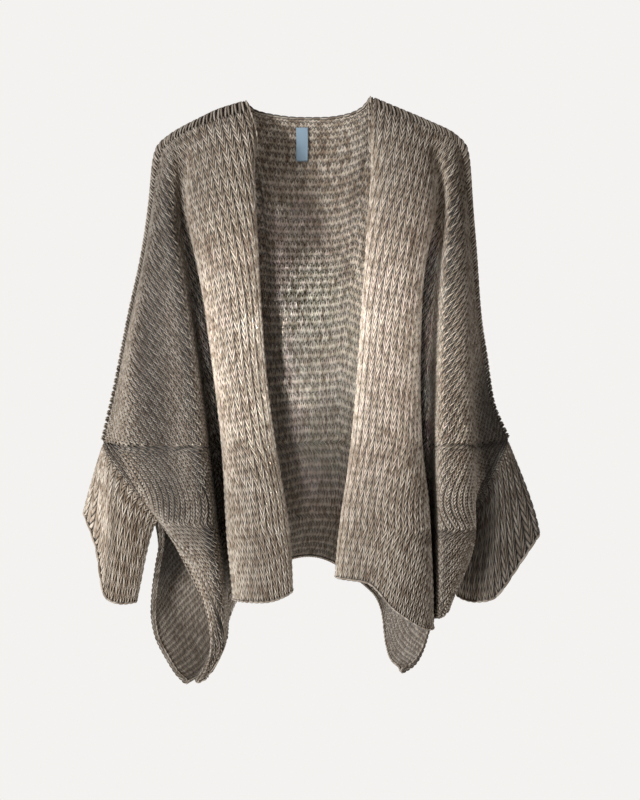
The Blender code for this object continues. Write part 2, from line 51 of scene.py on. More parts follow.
# The wearer's right side. The shoulder and sleeve seam, from the neck to the top of the armhole.
rightSeam = [
    # height, x, y
    (0, -87, 0), (-12, -124, 0), (-25, -149, 0), (-46, -188, 0), (-62, -208, 0), (-80, -213, 0),
    (-130, -216, 0), (-200, -225, 0), (-300, -246, -2), (-400, -266, -2), (-480, -285, 0),
]
rightFrontSide = [
    # the front's free side edge, from the underarm to the tip of its hem
    (-584, -206, 0), (-618, -178, -38), (-648, -161, -56), (-675, -146, -62), (-700, -135, -66),
    (-745, -129, -60), (-783, -141, -52), (-804, -154, -44),
]
rightBackSide = [
    (-584, -206, 0), (-612, -206, 14), (-650, -212, 18), (-690, -217, 14), (-715, -218, 10),
    (-745, -213, 4), (-778, -195, -8), (-798, -181, -14), (-809, -167, -20),
]
# The wearer's left side.
leftSeam = [
    (6, 87, 0), (-8, 118, 0), (-25, 156, 0), (-46, 202, 0), (-62, 219, 0), (-80, 222, 0),
    (-137, 225, 0), (-215, 231, 0), (-294, 236, 0), (-361, 246, 0), (-417, 254, 0), (-477, 279, 0),
]
leftFrontSide = [
    (-590, 215, 0), (-606, 212, -26), (-637, 208, -46), (-660, 202, -56), (-684, 196, -62),
    (-697, 189, -66),
]
leftBackSide = [
    (-590, 215, 0), (-615, 212, 16), (-650, 205, 28), (-700, 188, 34), (-742, 171, 30),
    (-764, 164, 24), (-787, 150, 12), (-798, 130, 4),
]

# The fronts, from the free front edge outwards: the x of each fold at that height, then its y.
rightFront = {
    "folds": (
        "selvage", "edge", "crest", "flank", "valleyIn", "valleyOut", "ridge", "trough", "bulge",
    ),
    "hem": (-660, -671, -684, -684, -688, -690, -745, -775, -795, -804),
    "outlines": {
        0: ((-87,) * 9, (0,) * 9),
        -60: ((-72, -78, -112, -150, -163, -173, -182, -192, -200),
              (-38, -48, -54, -42, -36, -32, -28, -22, -14)),
        -150: ((-82, -69, -115, -160, -168, -178, -188, -198, -208),
               (-54, -72, -94, -76, -38, -32, -56, -50, -34)),
        -250: ((-84, -63, -104, -142, -140, -164, -172, -194, -218),
               (-64, -88, -116, -88, -34, -30, -80, -70, -52)),
        -400: ((-74, -52, -88, -121, -114, -144, -152, -194, -238),
               (-74, -98, -126, -98, 2, 6, -96, -70, -64)),
        -500: ((-62, -37, -76, -110, -101, -132, -142, -186, -238),
               (-78, -102, -130, -102, 20, 24, -98, -70, -60)),
        -600: ((-46, -20, -64, -105, -94, -122, -128, -154, -182),
               (-78, -102, -128, -102, 30, 34, -90, -78, -52)),
        -700: ((-42, -17, -58, -95, -86, -110, -114, -121, -129),
               (-76, -100, -122, -98, 30, 34, -84, -84, -78)),
        -750: ((-42, -17, -58, -95, -86, -110, -113, -118, -124),
               (-76, -100, -122, -98, 30, 26, -52, -62, -63)),
        -804: ((-42, -17, -58, -95, -86, -110, -116, -124, -138),
               (-76, -100, -122, -98, 30, 20, 0, -14, -32)),
    },
}
leftFront = {
    "folds": (
        "selvage", "edge", "panel", "crest", "flank", "valleyIn", "valleyOut", "ridge", "fold",
        "recess", "bulge",
    ),
    "hem": (-648, -653, -657, -694, -724, -722, -718, -710, -702, -700, -698, -697),
    "outlines": {
        6: ((87,) * 11, (0,) * 11),
        -60: ((87, 94, 112, 136, 160, 171, 180, 190, 201, 209, 214),
              (-38, -48, -54, -52, -42, -36, -32, -28, -22, -14, -8)),
        -150: ((95, 82, 108, 140, 170, 178, 187, 198, 210, 217, 222),
               (-53, -70, -92, -92, -70, -36, -30, -54, -42, -24, -12)),
        -250: ((97, 75, 96, 126, 153, 149, 174, 190, 214, 219, 227),
               (-64, -88, -112, -116, -92, -36, -32, -82, -66, -36, -16)),
        -400: ((88, 64, 86, 118, 148, 141, 168, 184, 214, 224, 240),
               (-74, -98, -122, -126, -98, 0, 4, -94, -80, -48, -22)),
        -500: ((80, 54, 78, 116, 151, 143, 168, 182, 218, 230, 256),
               (-78, -102, -126, -130, -102, 16, 20, -100, -86, -56, -28)),
        -550: ((74, 45, 76, 117, 159, 150, 171, 183, 221, 224, 228),
               (-78, -102, -126, -130, -102, 20, 24, -100, -80, -50, -32)),
        -600: ((68, 37, 74, 116, 161, 152, 172, 184, 229, 226, 221),
               (-78, -102, -126, -130, -102, 22, 26, -100, -68, -44, -34)),
        -700: ((60, 31, 84, 112, 165, 156, 172, 180, 186, 188, 189),
               (-76, -98, -122, -122, -98, 16, 18, -88, -80, -75, -71)),
        -730: ((60, 31, 86, 112, 165, 156, 168, 174, 178, 180, 181),
               (-76, -98, -122, -122, -98, 16, 10, -82, -76, -74, -72)),
    },
}
# The back, from the wearer's right to left.
backPanel = {
    "folds": ("wingRight", "valleyRight", "sideRight", "centre", "sideLeft", "valleyLeft", "wingLeft"),
    "hem": (-809, -805, -785, -700, -646, -700, -766, -790, -798),
    "outlines": {
        6: ((-84, -74, -48, 0, 48, 74, 84), (8, 20, 34, 42, 34, 20, 8)),
        -60: ((-196, -160, -90, 0, 90, 166, 205), (22, 36, 56, 62, 56, 36, 20)),
        -150: ((-207, -172, -100, 0, 100, 176, 213), (44, 54, 82, 84, 82, 50, 42)),
        -250: ((-222, -178, -112, 0, 110, 182, 226), (68, 62, 108, 98, 106, 60, 66)),
        -400: ((-242, -176, -116, 0, 116, 180, 238), (90, 74, 132, 108, 128, 72, 84)),
        -500: ((-246, -172, -114, 0, 114, 178, 250), (84, 82, 140, 112, 136, 80, 78)),
        -600: ((-210, -166, -108, 0, 108, 172, 214), (60, 84, 138, 112, 134, 82, 58)),
        -700: ((-202, -156, -98, 0, 96, 144, 174), (50, 80, 128, 112, 116, 76, 44)),
        -804: ((-152, -128, -80, 0, 70, 93, 112), (10, 52, 104, 112, 90, 64, 36)),
    },
}
# The edge of the back neck, from the end of one shoulder seam to the end of the other.
neckEdge = [
    # x, y, height
    (-87, 0, 0), (-79, 16, -8), (-54, 35, -12), (-12, 44, -15), (22, 44, -15), (56, 34, -12),
    (79, 15, -4), (87, 0, 6),
]
neckPull = 4  # how quickly the pull of the neck's edge dies away down the back

# The armhole is an oval from the end of the sleeve seam to the underarm.
armholeHalfWidth = {-1: 44, 1: 34}  # on the wearer's right and left
# A sleeve band leaves the armhole in line with the panels. These are the points of its open end, in
# degrees from the top of the armhole round by the front.
rightBand = [
    # turn, x, y, height
    (0, -313, 4, -574), (45, -290, -24, -628), (90, -280, -35, -688), (135, -258, -20, -699),
    (180, -241, -2, -698), (225, -262, 18, -676), (270, -284, 32, -640), (315, -304, 24, -604),
]
leftBand = [
    (0, 322, -2, -604), (45, 288, -24, -650), (90, 254, -34, -692), (135, 229, -20, -696),
    (180, 209, 2, -688), (225, 238, 20, -664), (270, 280, 32, -628), (315, 309, 24, -606),
]
bandLead = 45  # how firmly a band keeps the panels' direction as it leaves the armhole

knit = {
    "wall": 1.5,  # half the thickness of the cloth between its stitches
    "stitchRise": 2.9,  # how far a stitch's legs stand out of the face
    "groove": 1.3,  # how far the hollows between the legs lie below the cloth's face
    "bumpRise": 1.9,  # how far the ridges on the inside stand out
    "bumpSink": 0.4,  # how far the hollows between the ridges lie below the inside
    "bumpDip": 0.15,  # how much of its height a ridge loses between two wales
    "legTaper": 0.8,  # under 1, a leg stays thick towards its ends
    "legRound": 0.7,  # the part of a leg's height that is round across it
    "legTilt": 0.4,  # and the part that rises towards the middle of the wale
    "opened": (13, 20),  # the wales over which the cloth of a front opens from its roll to its drape
    "openRise": 0.25,  # how much deeper its stitches are there
    "lean": 1.7,  # how far the outer end of a leg lies above its inner end, in rows
    "frontCuts": 3,  # how many parts a leg has across it
    "backCuts": 2,
    "bandCuts": 3,
    "shoulderWales": 15,
    "sleeveWales": 46,
    "neckWales": 19,
    "frontRows": 70,
    "backRows": 57,
    "bandRows": 13,
    "bandWales": 26,
    "topTurn": 1.6,  # the rows over which a panel turns to the direction of its top seam
    "sideTurn": 2.0,  # the wales over which it turns to the armhole
    "bandTurn": 2,  # the rows over which a band turns to it
}
frontWales = knit["shoulderWales"] + knit["sleeveWales"]
backWales = 2 * frontWales + knit["neckWales"]
# Soft patches of painted shade and painted light on the yarn's colour, where the cloth lies in shadow or
# faces the lamp. The right front's drape is darker partly through the yarn's own tone.
paintedLightAndShade = {
    # x, height, half width, half height, and how much darker or lighter the yarn is painted there: painted
    # shade below 1, painted light above 1
    # the right front: its drape, partly the yarn's own darker tone and partly painted shade; painted shade
    # low by its valley
    "front_right_knit": ((-190, -290, 45, 250, 0.66), (-150, -560, 50, 60, 0.7)),
    # the left front: painted shade on the wing behind its drape, painted light on the drape's crest
    "front_left_knit": ((262, -450, 32, 110, 0.38), (196, -420, 22, 150, 1.5)),
    # painted shade on the cuff that is turned away from the lamp
    "sleeve_left_knit": ((285, -600, 90, 120, 0.36),),
    # painted light on the cuff that is turned to the lamp
    "sleeve_right_knit": ((-285, -620, 60, 80, 1.2),),
    # painted shade in the hollow at the foot of the right side, and behind the left front's drape
    "back_knit": ((-196, -625, 40, 50, 0.45), (200, -480, 60, 130, 0.7)),
    # painted shade on the edges of the left front's wing
    "front_left_edges": ((275, -440, 40, 100, 0.5),),
    # painted shade on the cuff that is turned away from the lamp
    "cuff_left_edge": ((285, -600, 90, 120, 0.6),),
}
paintedPatchReach = 1.4  # how far out a patch of painted shade or light reaches, in its own half sizes
paintedPatchFade = 0.8  # and over how much of that it fades

# How many points lines and grids are worked out with.
heightSamples = 260
frontSamples = 240
backSamples = 520
foldSamples = 14  # from one fold of an outline to the next
edgeSamples = 800
neckSamples = 400
sideSamples = 200
armholeSamples = 60
ringSamples = 300

hemRoom = 2  # how far the grid of a panel reaches below its hem
hemRounds = 4  # how often a hem's heights are worked out again
foldSoftness = 9.0  # over how many millimetres the folds of a panel are rounded
creaseRounds = 170  # how long creases that would run straight across a panel are let out,
creaseMargin = 0.10  # beyond this share of its width from a seam
creaseDepth = 60  # and over this far down from the tip of the shoulder
armholeSpacing = 1.4  # over 1, the points of an armhole lie closer at its top
greatestFullness = 0.385  # of the curve that bows an armhole out
seamEvening = 6  # a seam's turns are evened out over this part of the depth below the shoulder,
seamReach = (4, 32)  # within these limits
seamRun = (0.31, -0.95)  # which way a sleeve seam runs at its end: outwards, and up
bandSpacing = 1.15  # over 1, the points of a band lie closer at the armhole


def slopes(at, values):
    # of a smooth curve through the values that never overshoots them
    rise = np.diff(values, axis=0) / np.diff(at)[:, None]
    before, after = rise[:-1], rise[1:]
    sameWay = before * after > 0
    before = np.where(sameWay, before, 1.0)
    after = np.where(sameWay, after, 1.0)
    inner = np.where(sameWay, 2.0 / (1.0 / before + 1.0 / after), 0.0)
    return np.concatenate([rise[:1], inner, rise[-1:]])


def curve(t, start, leaving, end, arriving):
    # from start to end, with the directions in which it leaves and arrives
    return (
        (2 * t**3 - 3 * t**2 + 1) * start
        + (t**3 - 2 * t**2 + t) * leaving
        + (3 * t**2 - 2 * t**3) * end
        + (t**3 - t**2) * arriving
    )


def smooth(at, values, where):
    # values at the places asked for, on a smooth curve through the rows of a table
    at, values, where = np.asarray(at, float), np.asarray(values, float), np.asarray(where, float)
    order = np.argsort(at)
    at = at[order]
    flat = values.reshape(len(at), -1)[order]
    slope = slopes(at, flat)
    where = np.clip(where, at[0], at[-1])
    i = np.clip(np.searchsorted(at, where) - 1, 0, len(at) - 2)
    step = (at[i + 1] - at[i])[:, None]
    t = (where - at[i])[:, None] / step
    found = curve(t, flat[i], step * slope[i], flat[i + 1], step * slope[i + 1])
    return found.reshape(where.shape + values.shape[1:])


def read(line, at, where):
    # the points of a line at the places asked for, each column on its own
    return np.stack([np.interp(where, at, column) for column in line.T], axis=1)


def unit(vectors):
    return vectors / np.maximum(np.linalg.norm(vectors, axis=-1, keepdims=True), 1e-9)


def eased(values):
    values = np.clip(values, 0, 1)
    return values * values * (3 - 2 * values)


def along(points):
    steps = np.linalg.norm(np.diff(points, axis=0), axis=1)
    return np.concatenate([[0.0], np.cumsum(steps)])


def evenly(line, steps):
    at = along(line)
    return read(line, at, np.linspace(0, at[-1], steps + 1))


def evened(lines, rounds):
    # every line but the first and the last, drawn towards its neighbours over and over
    lines = lines.copy()
    for _ in range(rounds):
        lines[1:-1] = (lines[:-2] + 2 * lines[1:-1] + lines[2:]) / 4
    return lines


def mixed(grid, i, j, a, b):
    # inside cell i, j of a grid, at the shares a and b of the way across it
    near = (1 - b) * grid[i, j] + b * grid[i, j + 1]
    far = (1 - b) * grid[i + 1, j] + b * grid[i + 1, j + 1]
    return (1 - a) * near + a * far


def rounded(corners):
    # a plan outline as a smooth line through its folds, with foldSamples points to a fold
    before = 2 * corners[:1] - corners[1:2]
    beyond = 2 * corners[-1:] - corners[-2:-1]
    padded = np.concatenate([before, corners, beyond])
    chord = np.linalg.norm(np.diff(padded, axis=0), axis=1)
    knots = np.concatenate([[0.0], np.cumsum(np.sqrt(chord) + 1e-6)])
    line = []
    for i in range(1, len(padded) - 2):
        p = padded[i - 1 : i + 3]
        k = knots[i - 1 : i + 3]
        t = np.linspace(k[1], k[2], foldSamples, endpoint=False)[:, None]
        a = [((k[j + 1] - t) * p[j] + (t - k[j]) * p[j + 1]) / (k[j + 1] - k[j]) for j in range(3)]
        b = [((k[j + 2] - t) * a[j] + (t - k[j]) * a[j + 1]) / (k[j + 2] - k[j]) for j in range(2)]
        line.append(((k[2] - t) * b[0] + (t - k[1]) * b[1]) / (k[2] - k[1]))
    line.append(corners[-1:])
    return np.concatenate(line)


class Drape:
    # A hanging panel. A fold keeps its place across the panel all the way down, counted from fold zero.
    def __init__(self, table, low, high, ends, facing, zero, samples):
        outlines = table["outlines"]
        rows = sorted(outlines)
        self.heights = np.linspace(low, high, heightSamples)
        start, end = ends
        folds = smooth(rows, [np.transpose(outlines[h]) for h in rows], self.heights)
        pieces = [folds, end(self.heights)[:, None]]
        if start:
            pieces.insert(0, start(self.heights)[:, None])
        plan = [rounded(c) for c in np.concatenate(pieces, axis=1)]
        length = np.stack([along(p) for p in plan])
        foldsAt = length[:, ::foldSamples]
        fullest = foldsAt[np.argmin(abs(self.heights - full))]
        self.folds = fullest - fullest[table["folds"].index(zero) + (1 if start else 0)]
        self.samples = samples
        where = np.linspace(self.folds[0], self.folds[-1], samples + 1)
        across = np.stack([
            read(line, np.interp(distance, at, self.folds), where)
            for line, at, distance in zip(plan, foldsAt, length)
        ])
        rounds = int(2 * (foldSoftness * samples / (self.folds[-1] - self.folds[0])) ** 2)
        across = evened(across.swapaxes(0, 1), rounds).swapaxes(0, 1)
        even = evened(across, creaseRounds)
        share = np.linspace(0, 1, samples + 1)
        inside = eased((1 - share) / creaseMargin) * (eased(share / creaseMargin) if start else 1)
        inside = inside[None, :, None] * eased((shoulderTip - self.heights) / creaseDepth)[:, None, None]
        across = across * (1 - inside) + even * inside
        heights = np.broadcast_to(self.heights[:, None, None], across.shape[:2] + (1,))
        self.grid = np.concatenate([across, heights], axis=2)
        normal = unit(np.cross(np.gradient(self.grid, axis=1), np.gradient(self.grid, axis=0)))
        self.normal = normal if (normal[..., 1].mean() > 0) == (facing > 0) else -normal
        # the share of its places that lies at each share of its true width, height by height
        self.evenly = np.array([
            np.interp(np.linspace(0, at[-1], samples + 1), at, share) for at in map(along, self.grid)
        ])

    def cell(self, share, height):
        step = self.heights[1] - self.heights[0]
        row = np.clip((height - self.heights[0]) / step, 0, len(self.heights) - 1.001)
        across = np.clip(share, 0, 1) * self.samples
        i, j = row.astype(int), np.minimum(across.astype(int), self.samples - 1)
        return i, j, row - i, across - j

    def hem(self, table, width):
        # the hem's height at each share of the panel's true width
        start, end = self.folds[0], self.folds[-1]
        heights = np.full(len(width), min(table["hem"]) / 2 + max(table["hem"]) / 2)
        for _ in range(hemRounds):
            place = start + mixed(self.evenly, *self.cell(width, heights)) * (end - start)
            heights = smooth(self.folds, table["hem"], place)
        return heights

    def sample(self, width, height):
        # points and normals on the panel, from shares of its true width and heights
        share = mixed(self.evenly, *self.cell(width, height))
        i, j, a, b = self.cell(share, height)
        points, normal = (mixed(grid, i, j, a[..., None], b[..., None]) for grid in (self.grid, self.normal))
        points[..., 2] = height
        return points, unit(normal)


def columnAt(rows, heights):
    table = np.asarray(rows, float)
    return smooth(table[:, 0], table[:, 1:], heights)


def edgeLine(rows, high, low, steps):
    heights = np.linspace(high, low, edgeSamples)
    return evenly(np.concatenate([columnAt(rows, heights), heights[:, None]], axis=1), steps)


def armholeLine(seam, side, towards, steps):
    # one half of the armhole, from the sleeve seam to the underarm; towards is -1 for the front's half
    top = np.array([seam[-1][1], seam[-1][2], seam[-1][0]], float)
    underarm = np.array([side[0][1], side[0][2], side[0][0]], float)
    share = (np.linspace(0, 1, steps + 1) ** armholeSpacing)[:, None]
    line = (1 - share) * top + share * underarm
    fullness = share**0.5 * (1 - share)
    line[:, 1:2] += towards * armholeHalfWidth[np.sign(top[0])] * fullness / greatestFullness
    return line


def outerEnd(seam, side, towards):
    # the (x, y) of a panel's outer end at any height
    def at(heights):
        half = armholeLine(seam, side, towards, armholeSamples)[::-1]
        found = columnAt(seam, heights)
        beside = (heights < seam[-1][0]) & (heights > side[0][0])
        below = heights <= side[0][0]
        found[beside] = read(half[:, :2], half[:, 2], heights[beside])
        found[below] = columnAt(side, heights[below])
        return found

    return at


def outerHeights(seam, side, towards, steps):
    # heights down the armhole's half and the free side, evenly by length
    armhole = armholeLine(seam, side, towards, sideSamples)
    free = edgeLine(side, side[0][0], side[-1][0], sideSamples)
    return evenly(np.concatenate([armhole, free[1:]]), steps)[:, 2]


def stitchHeights(top, bottom, first, last):
    # heights of every stitch point, from those along the four sides of a panel
    u = np.linspace(0, 1, len(top))[:, None]
    v = np.linspace(0, 1, len(first))[None, :]
    corners = (1 - v) * ((1 - u) * top[0] + u * top[-1]) + v * ((1 - u) * bottom[0] + u * bottom[-1])
    return (1 - v) * top[:, None] + v * bottom[:, None] + (1 - u) * first + u * last - corners


def walesAt(seamLine, heights):
    # The share of a seam's wales that hang down past a height, as they all start along the seam. The second
    # answer runs evenly past the seam's turns.
    share = np.linspace(0, 1, len(seamLine))
    true = np.interp(-heights, -seamLine[:, 2], share)
    reach = np.clip(-heights / seamEvening, *seamReach)
    steps = (-1, 1, -2, 2, -3, 3)
    even = true
    for step in steps:
        even = even + np.interp(-heights + step * reach, -seamLine[:, 2], share)
    return np.maximum(true, 1e-6), np.maximum(even / (1 + len(steps)), 1e-6)


def seamNormals(line):
    # outwards from a shoulder and sleeve seam, in the plane of the seam
    run = unit(np.gradient(line, axis=0))
    normal = np.stack([-run[:, 2], np.zeros(len(run)), run[:, 0]], axis=1)
    return unit(normal * np.sign(normal[:, :1] * line[:, :1] + 1e-9))


def ringNormals(ring):
    # outwards all round an armhole
    middle = (ring.max(axis=0) + ring.min(axis=0)) / 2
    run = unit(np.roll(ring, -1, axis=0) - np.roll(ring, 1, axis=0))
    away = ring - middle
    return unit(away - (away * run).sum(axis=1, keepdims=True) * run)


def armholeNormals(seam, side, towards, heights):
    front, back = (armholeLine(seam, side, way, armholeSamples) for way in (-1, 1))
    normal = ringNormals(np.concatenate([front, back[1:-1][::-1]]))
    line = front if towards < 0 else back
    half = (normal if towards < 0 else np.roll(normal[::-1], 1, axis=0))[: armholeSamples + 1]
    order = np.argsort(line[:, 2])
    return unit(read(half[order], line[order, 2], heights))


def turnedToSeams(normal, topNormal, outer, rows, wales):
    # a panel's normals, turned to the ones it shares with its neighbours along its seams
    v = np.linspace(0, rows, normal.shape[1])[None, :, None]
    near = 1 - eased(v / knit["topTurn"])
    normal = unit(near * topNormal[:, None] + (1 - near) * normal)
    for column, seam, side, towards, points in outer:
        distance = abs(np.linspace(0, wales, len(normal)) - (wales if column else 0))[:, None, None]
        heights = points[column, :, 2]
        ring = armholeNormals(seam, side, towards, heights)
        near = (1 - eased(distance / knit["sideTurn"])) * (heights > side[0][0])[None, :, None]
        normal = unit(near * ring[None] + (1 - near) * normal)
    return normal


def frontPoints(table, seam, side, acrossSteps, downSteps):
    low = min(min(table["hem"]), side[-1][0]) - hemRoom
    drape = Drape(table, low, seam[0][0], (None, outerEnd(seam, side, -1)), -1, "selvage", frontSamples)
    seamLine = edgeLine(seam, seam[0][0], seam[-1][0], acrossSteps)
    share = np.linspace(0, 1, acrossSteps + 1)
    bottom = drape.hem(table, share)
    down = np.linspace(seam[0][0], bottom[0], downSteps + 1)
    heights = stitchHeights(seamLine[:, 2], bottom, down, outerHeights(seam, side, -1, downSteps))
    # the wales share out the width that there is at each height
    true, even = walesAt(seamLine, heights)
    ratio = np.clip(share[:, None] / true, 0, 1)
    within = np.clip((1 - ratio**2) * share[:, None] / even + ratio**3, 0, 1)
    within[:, 0] = np.where(share > 0, 1, within[:, 0])
    within[-1] = 1
    points, normal = drape.sample(within, heights)
    outer = [(-1, seam, side, -1, points)]
    return points, turnedToSeams(normal, seamNormals(seamLine), outer, knit["frontRows"], frontWales)


def backPoints(sideSteps, neckSteps, downSteps):
    sides = (rightSeam, rightBackSide, 1), (leftSeam, leftBackSide, 1)
    low, high = min(backPanel["hem"]) - hemRoom, leftSeam[0][0]
    drape = Drape(backPanel, low, high, [outerEnd(*s) for s in sides], 1, "centre", backSamples)
    right = edgeLine(rightSeam, rightSeam[0][0], rightSeam[-1][0], sideSteps)[::-1]
    left = edgeLine(leftSeam, leftSeam[0][0], leftSeam[-1][0], sideSteps)
    rows = np.array(neckEdge, float)
    edge = smooth(along(rows), rows, np.linspace(0, along(rows)[-1], neckSamples))
    topLine = np.concatenate([right, evenly(edge, neckSteps)[1:-1], left])
    u = np.linspace(0, 1, len(topLine))
    heights = stitchHeights(
        topLine[:, 2], drape.hem(backPanel, u), *(outerHeights(*s, downSteps) for s in sides)
    )
    seamShare = (len(right) - 1) / (len(u) - 1)
    ratios = []
    for onRight, onLeft in zip(walesAt(right[::-1], heights), walesAt(left, heights)):
        start, end = seamShare * (1 - onRight), 1 - seamShare * (1 - onLeft)
        ratios.append(np.clip((u[:, None] - start) / (end - start), 0, 1))
    middle = 4 * ratios[0] * (1 - ratios[0])
    within = middle * ratios[1] + (1 - middle) * ratios[0]
    within[: len(right), 0] = 0
    within[-len(left) :, 0] = 1
    within[0], within[-1] = 0, 1
    points, normal = drape.sample(within, heights)
    down = np.linspace(0, 1, downSteps + 1)[None, :, None]
    points = points + (topLine - points[:, 0])[:, None] * (1 - down) ** neckPull
    topNormal = np.concatenate([seamNormals(right), normal[len(right) : -len(left), 0], seamNormals(left)])
    outer = [(column, *s, points) for column, s in zip((0, -1), sides)]
    return points, turnedToSeams(normal, topNormal, outer, knit["backRows"], backWales)


def bandPoints(seam, frontSide, band, hand, aroundSteps, downSteps):
    front, back = (armholeLine(seam, frontSide, way, ringSamples) for way in (-1, 1))
    ring = evenly(np.concatenate([front, back[:-1][::-1]]), aroundSteps)[:-1]
    underarm = np.argmin(ring[:, 2])
    turn = np.interp(np.arange(aroundSteps), [0, underarm, aroundSteps], [0, 180, 360])
    share = ((1 - np.cos(np.radians(turn))) / 2)[:, None]
    lead = unit((1 - share) * np.array([seamRun[0] * hand, 0, seamRun[1]]) + share * np.array([hand, 0, 0]))
    rows = np.array(band, float)
    twice = np.concatenate([rows - (360, 0, 0, 0), rows, rows + (360, 0, 0, 0)])
    end = smooth(twice[:, 0], twice[:, 1:], turn)
    arrival = end.mean(axis=0) - ring.mean(axis=0)
    t = (np.linspace(0, 1, downSteps + 1) ** bandSpacing)[None, :, None]
    points = curve(t, ring[:, None], bandLead * lead[:, None], end[:, None], arrival)
    around = np.roll(points, -1, axis=0) - np.roll(points, 1, axis=0)
    normal = unit(np.cross(around, np.gradient(points, axis=1)))
    away = points - points.mean(axis=0, keepdims=True)
    normal *= np.sign((normal * away).sum())
    near = 1 - eased(np.linspace(0, knit["bandRows"], downSteps + 1) / knit["bandTurn"])[None, :, None]
    normal = unit(near * ringNormals(ring)[:, None] + (1 - near) * normal)
    return [np.concatenate([grid, grid[:1]]) for grid in (points, normal)]


def legRelief(spread, phase):
    # 0 between the legs of the stitches, 1 on their crests; a leg tapers to both its ends
    crest = np.sin(np.pi * (phase % 1)) ** knit["legTaper"]
    return crest * (knit["legRound"] * np.sqrt(1 - (2 * spread - 1) ** 2) + knit["legTilt"] * (1 - spread))


def bumpRelief(wale, row):
    # the ridges of yarn across the inside
    dip = knit["bumpDip"]
    return (0.5 - 0.5 * np.cos(2 * np.pi * row)) * (1 - dip + dip * np.cos(2 * np.pi * wale))


def between(grid, wales, rows, wale, row):
    # points of a panel at any wale and row
    i = np.clip(wale / wales * (grid.shape[0] - 1), 0, grid.shape[0] - 1.0001)
    j = np.clip(row / rows * (grid.shape[1] - 1), 0, grid.shape[1] - 1.0001)
    return mixed(grid, i.astype(int), j.astype(int), (i % 1)[..., None], (j % 1)[..., None])


def legsOutside(points, normal, wales, rows, cuts):
    # The face of the knit. Its lines of points run along the legs, so that each has a crest and two hollows.
    wale = np.linspace(0, wales, wales * 2 * cuts + 1)[:, None]
    spread = abs(wale % 1 - 0.5) * 2
    phase = np.arange(0, rows + knit["lean"] + 0.5, 0.5)[None, :]
    row = np.clip(phase - knit["lean"] * spread, 0, rows)
    wale = np.broadcast_to(wale, row.shape)
    relief = legRelief(spread, row + knit["lean"] * spread)
    low, high = knit["opened"]
    relief = relief * (1 + knit["openRise"] * eased((wale - low) / (high - low)))
    out = unit(between(normal, wales, rows, wale, row))
    rise = knit["wall"] - knit["groove"] + knit["stitchRise"] * relief
    moved = between(points, wales, rows, wale, row) + out * rise[..., None]
    # where a line runs past the top or the hem, its points there are one point
    number = np.arange(row.size).reshape(row.shape)
    top = (row <= 0).sum(axis=1) - 1
    foot = row.shape[1] - (row >= rows).sum(axis=1)
    across = np.arange(len(row))
    number = np.where(row <= 0, number[across, top][:, None], number)
    number = np.where(row >= rows, number[across, foot][:, None], number)
    return moved, wale, row, number


def bumpsInside(points, normal, wales, rows):
    across, down = points.shape[:2]
    wale, row = np.meshgrid(np.linspace(0, wales, across), np.linspace(0, rows, down), indexing="ij")
    rise = knit["wall"] - knit["bumpSink"] + knit["bumpRise"] * bumpRelief(wale, row)
    return points - normal * rise[..., None], wale, row, np.arange(row.size).reshape(row.shape)


def zipped(one, oneAt, other, otherAt):
    # triangles between two lines of points, each with how far along it the points lie
    faces = []
    i = j = 0
    while i < len(one) - 1 or j < len(other) - 1:
        if j == len(other) - 1 or (i < len(one) - 1 and oneAt[i + 1] <= otherAt[j + 1]):
            faces.append((one[i], one[i + 1], other[j]))
            i += 1
        else:
            faces.append((one[i], other[j + 1], other[j]))
            j += 1
    return faces


def quadsOf(number):
    corners = number[:-1, :-1], number[1:, :-1], number[1:, 1:], number[:-1, 1:]
    return np.stack(corners, axis=-1).reshape(-1, 4).tolist()


def sideLine(line):
    return line[np.concatenate([[True], np.diff(line) != 0])]


def shadeOf(verts, patches):
    # the painted shade and painted light of the yarn, in soft patches
    shade = np.ones(len(verts))
    for x, height, wide, tall, tone in patches:
        away = np.sqrt(((verts[:, 0] / mm - x) / wide) ** 2 + ((verts[:, 2] / mm - height) / tall) ** 2)
        shade *= 1 + (tone - 1) * eased((paintedPatchReach - away) / paintedPatchFade)
    return shade


def chosen(piece):
    for other in bpy.context.selected_objects:
        other.select_set(False)
    piece.select_set(True)
    bpy.context.view_layer.objects.active = piece


def cleaned(piece, seam=False):
    # its faces turned outwards, and a seam of doubled points closed
    chosen(piece)
    bpy.ops.object.mode_set(mode="EDIT")
    bpy.ops.mesh.select_all(action="SELECT")
    if seam:
        bpy.ops.mesh.remove_doubles(threshold=0.00001)
    bpy.ops.mesh.normals_make_consistent(inside=False)
    bpy.ops.object.mode_set(mode="OBJECT")


def pieceOf(name, verts, faces):
    mesh = bpy.data.meshes.new(name)
    mesh.from_pydata(verts.tolist(), [], faces)
    piece = bpy.data.objects.new(name, mesh)
    bpy.context.scene.collection.objects.link(piece)
    return piece


def knitPiece(name, verts, faces, uvs, tone=1.0):
    # a mesh whose every point knows its wale, its row and the painted shade and light of its yarn
    piece = pieceOf(name, verts, faces)
    mesh = piece.data
    layer = mesh.uv_layers.new(name="stitches")
    corner = np.zeros(len(mesh.loops), int)
    mesh.loops.foreach_get("vertex_index", corner)
    layer.data.foreach_set("uv", uvs[corner].ravel())
    # painted shade and light: the painted patches, times a painted shade given for a whole piece, such as
    # the edges
    shade = mesh.attributes.new("shade", "FLOAT", "POINT")
    shade.data.foreach_set("value", shadeOf(verts, paintedLightAndShade.get(name, ())) * tone)
    mesh.shade_smooth()
    return piece


